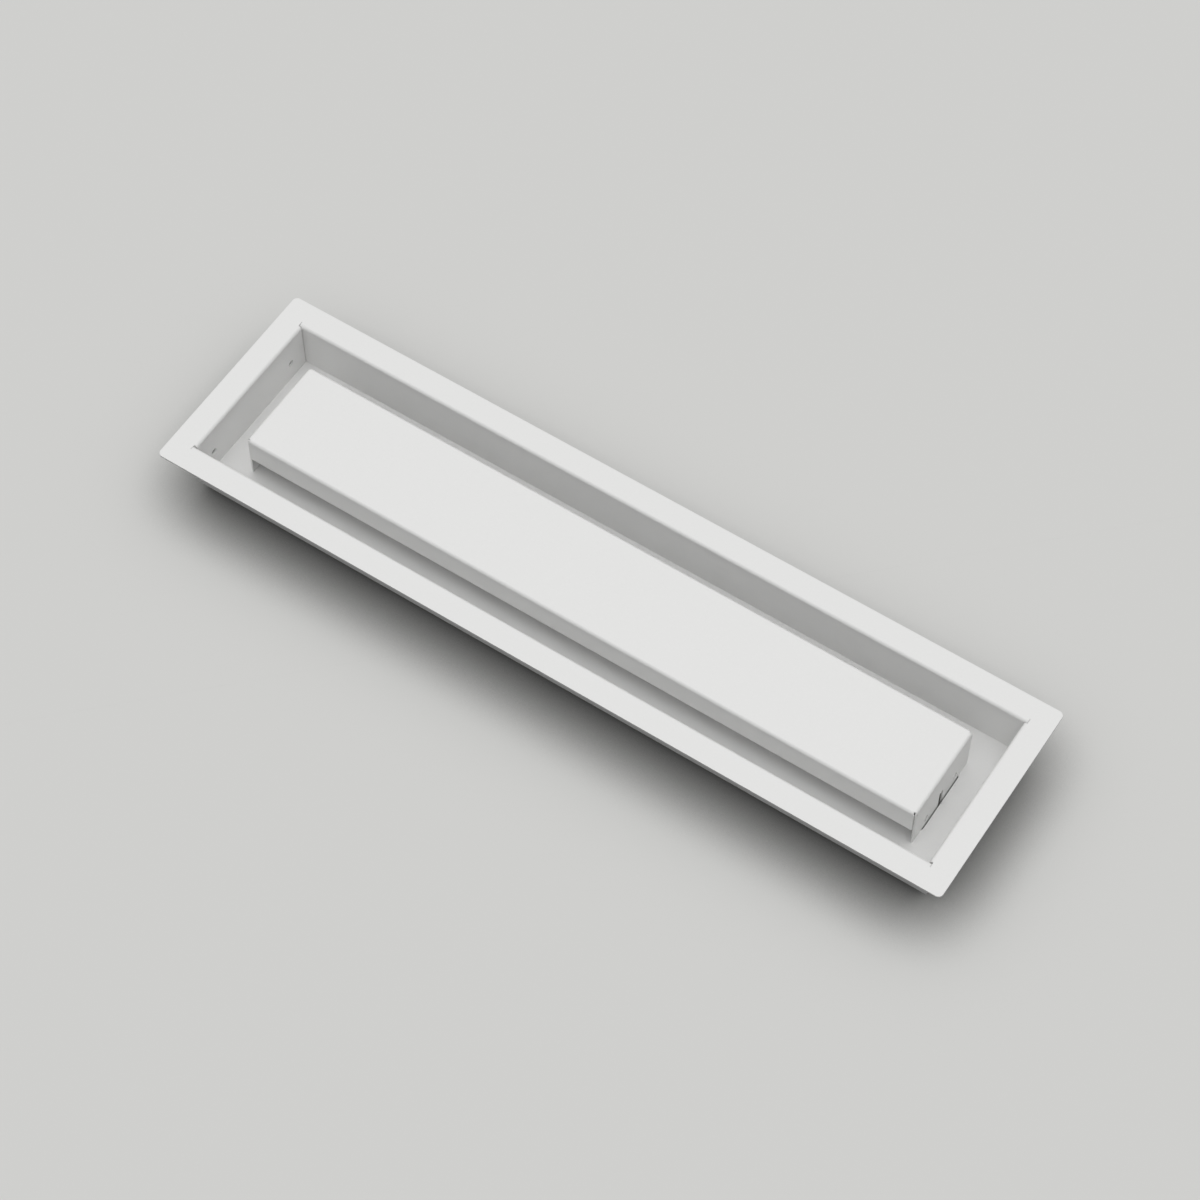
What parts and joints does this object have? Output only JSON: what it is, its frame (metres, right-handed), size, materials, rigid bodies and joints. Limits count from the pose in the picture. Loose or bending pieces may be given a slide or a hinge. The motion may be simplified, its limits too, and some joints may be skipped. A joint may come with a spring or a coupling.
{
  "type": "recessed wall vent cover",
  "caption": "Recessed rectangular wall vent cover: flanged tray with an air opening behind a raised cover, air passing round its edges.",
  "frame": {"origin": "middle of the base, level with the tips of the cover's tongues", "axes": "+X along the cover's length, +Y across it, +Z out of the wall towards the room"},
  "size_m": [0.5, 0.13, 0.0395],
  "materials": {
    "powder_coat": "matt white powder coat"
  },
  "bodies": {
    "root": {"frame": "powder_coat", "back_plate": "powder_coat", "cover": "powder_coat"}
  },
  "joints": []
}
